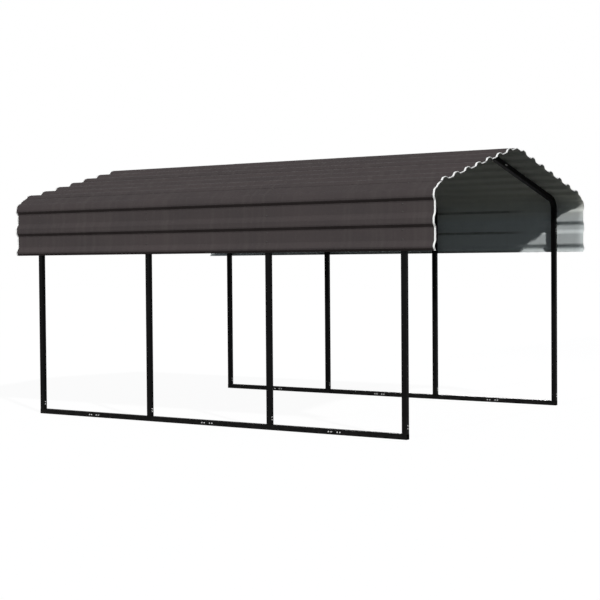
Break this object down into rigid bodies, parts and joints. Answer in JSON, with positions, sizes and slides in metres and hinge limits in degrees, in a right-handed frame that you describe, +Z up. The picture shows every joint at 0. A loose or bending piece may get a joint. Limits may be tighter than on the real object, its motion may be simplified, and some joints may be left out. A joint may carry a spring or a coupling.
{
  "type": "carport",
  "caption": "Open metal carport: square-tube bents on base rails carry a ribbed sheet roof with a low gable, rounded eaves and short side skirts.",
  "frame": {"origin": "centre of the footprint on the ground, under the middle of the ridge", "axes": "+X across the carport, +Y along the ridge from the drive-in gable to the far gable, +Z up"},
  "size_m": [3.5176, 5.103, 2.7159],
  "materials": {
    "roof_sheet": "satin charcoal brown paint outside, light grey backer coat inside",
    "frame_tube": "satin black powder coat",
    "edge_trim": "satin white folded trim"
  },
  "bodies": {
    "root": {"base_rail_left_1": "frame_tube", "base_rail_left_2": "frame_tube", "base_rail_left_3": "frame_tube", "base_rail_left_4": "frame_tube", "base_rail_right_1": "frame_tube", "base_rail_right_2": "frame_tube", "base_rail_right_3": "frame_tube", "base_rail_right_4": "frame_tube", "eave_sheet_left_front": "roof_sheet", "eave_sheet_left_rear": "roof_sheet", "eave_sheet_right_front": "roof_sheet", "eave_sheet_right_rear": "roof_sheet", "edge_trim_left_front": "edge_trim", "edge_trim_left_rear": "edge_trim", "edge_trim_right_front": "edge_trim", "edge_trim_right_rear": "edge_trim", "leg_left_1": "frame_tube", "leg_left_2": "frame_tube", "leg_left_3": "frame_tube", "leg_left_4": "frame_tube", "leg_right_1": "frame_tube", "leg_right_2": "frame_tube", "leg_right_3": "frame_tube", "leg_right_4": "frame_tube", "peak_tube_1": "frame_tube", "peak_tube_2": "frame_tube", "peak_tube_3": "frame_tube", "peak_tube_4": "frame_tube", "rafter_left_1": "frame_tube", "rafter_left_2": "frame_tube", "rafter_left_3": "frame_tube", "rafter_left_4": "frame_tube", "rafter_right_1": "frame_tube", "rafter_right_2": "frame_tube", "rafter_right_3": "frame_tube", "rafter_right_4": "frame_tube", "ridge_sheet_front": "roof_sheet", "ridge_sheet_rear": "roof_sheet", "ridge_trim_front": "edge_trim", "ridge_trim_rear": "edge_trim", "slope_sheet_left_front": "roof_sheet", "slope_sheet_left_rear": "roof_sheet", "slope_sheet_right_front": "roof_sheet", "slope_sheet_right_rear": "roof_sheet"}
  },
  "joints": []
}
